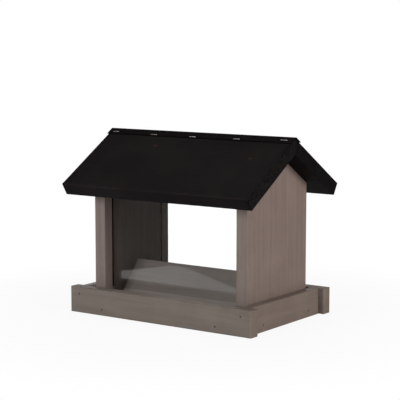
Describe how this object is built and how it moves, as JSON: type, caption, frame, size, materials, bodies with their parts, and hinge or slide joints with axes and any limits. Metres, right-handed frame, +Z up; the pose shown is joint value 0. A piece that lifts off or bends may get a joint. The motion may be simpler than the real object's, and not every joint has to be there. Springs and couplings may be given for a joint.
{
  "type": "bird feeder",
  "caption": "Wooden hopper bird feeder: a seed tray, end walls with clear sliding panes, a seed deflector, and a gabled roof whose front board lifts on a stapled ridge strip.",
  "frame": {"origin": "middle of the tray's footprint, on the surface it stands on", "axes": "+X along the ridge towards the right end wall, +Y from the lid side to the fixed side of the roof, +Z up"},
  "size_m": [0.307, 0.224, 0.2495],
  "materials": {
    "rail_wood": "weathered grey-brown stain, matt",
    "wall_wood": "grey-brown stain with a red tint, matt",
    "deflector_wood": "grey-brown stain, matt",
    "clear_acrylic": "clear and polished",
    "black_roof": "black paint, low sheen",
    "strip_rubber": "matt black",
    "staple_steel": "dull zinc",
    "brad_steel": "dull, darkened"
  },
  "bodies": {
    "feeder": {"floor_board": "rail_wood", "front_rail": "rail_wood", "back_rail": "rail_wood", "left_side_rail": "rail_wood", "right_side_rail": "rail_wood", "left_end_wall": "wall_wood", "right_end_wall": "wall_wood", "front_deflector_board": "deflector_wood", "back_deflector_board": "deflector_wood", "back_roof_board": "black_roof", "hinge_strip": "strip_rubber", "back_roof_staples": "staple_steel", "front_corner_brads": "brad_steel", "front_floor_brads": "brad_steel", "back_corner_brads": "brad_steel", "back_floor_brads": "brad_steel", "left_side_brads": "brad_steel", "right_side_brads": "brad_steel", "left_wall_brads": "brad_steel", "right_wall_brads": "brad_steel", "back_roof_brads": "brad_steel"},
    "lid": {"roof_lid_board": "black_roof", "lid_staples": "staple_steel"},
    "front_pane": {"front_pane": "clear_acrylic"},
    "back_pane": {"back_pane": "clear_acrylic"}
  },
  "joints": [
    {"name": "lid_hinge", "type": "hinge", "parent": "feeder", "child": "lid", "pos_m": [0, 0, 0.24832], "axis": [-1, 0, 0], "range_deg": [0, 200], "deforming": ["hinge_strip"]},
    {"name": "front_pane_slide", "type": "slide", "parent": "feeder", "child": "front_pane", "axis": [0, 0, 1], "range_m": [0, 0.005]},
    {"name": "back_pane_slide", "type": "slide", "parent": "feeder", "child": "back_pane", "axis": [0, 0, 1], "range_m": [0, 0.005]}
  ]
}
